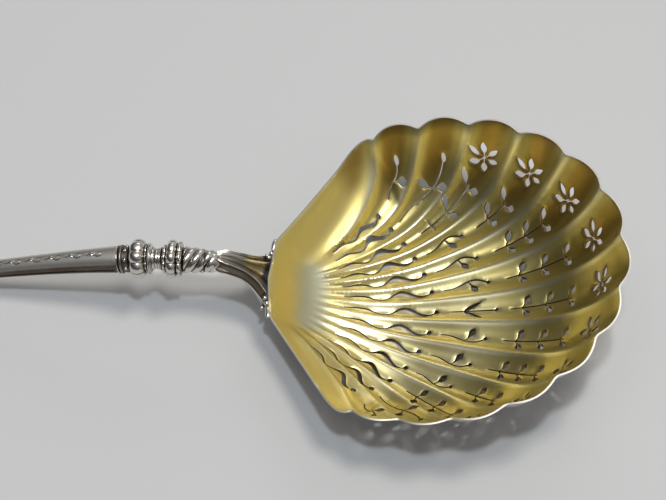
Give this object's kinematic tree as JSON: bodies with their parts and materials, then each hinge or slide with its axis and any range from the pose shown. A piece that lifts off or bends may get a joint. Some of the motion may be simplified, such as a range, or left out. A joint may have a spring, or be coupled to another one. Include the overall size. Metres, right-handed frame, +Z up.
{
  "type": "sugar sifter spoon",
  "caption": "Sugar sifter spoon with a pierced, fluted shell bowl on a forked stem, a beaded neck and a slim tube handle.",
  "frame": {"origin": "on the table, under the middle of the spoon's length and width", "axes": "+X along the spoon from the finial to the tip of the bowl, +Y to the left of the tip, +Z up out of the open bowl"},
  "size_m": [0.2048, 0.0716, 0.0279],
  "materials": {
    "gilt": "gilt silver, worn and tarnished, with pale ribs",
    "silver": "polished silver with dark oxidation in its recesses",
    "cement": "dull resin filling, hidden"
  },
  "bodies": {
    "root": {"bowl": "gilt", "bowl_fork": "silver", "twist_collar": "silver", "front_knop": "silver", "knop_spool": "silver", "rear_knop": "silver", "neck_ring": "silver", "mouth_cap": "silver", "handle_upper_shell": "silver", "handle_lower_shell": "silver", "handle_filler": "cement", "core_rod": "silver", "end_collar": "silver", "end_knop": "silver", "finial": "silver"}
  },
  "joints": []
}
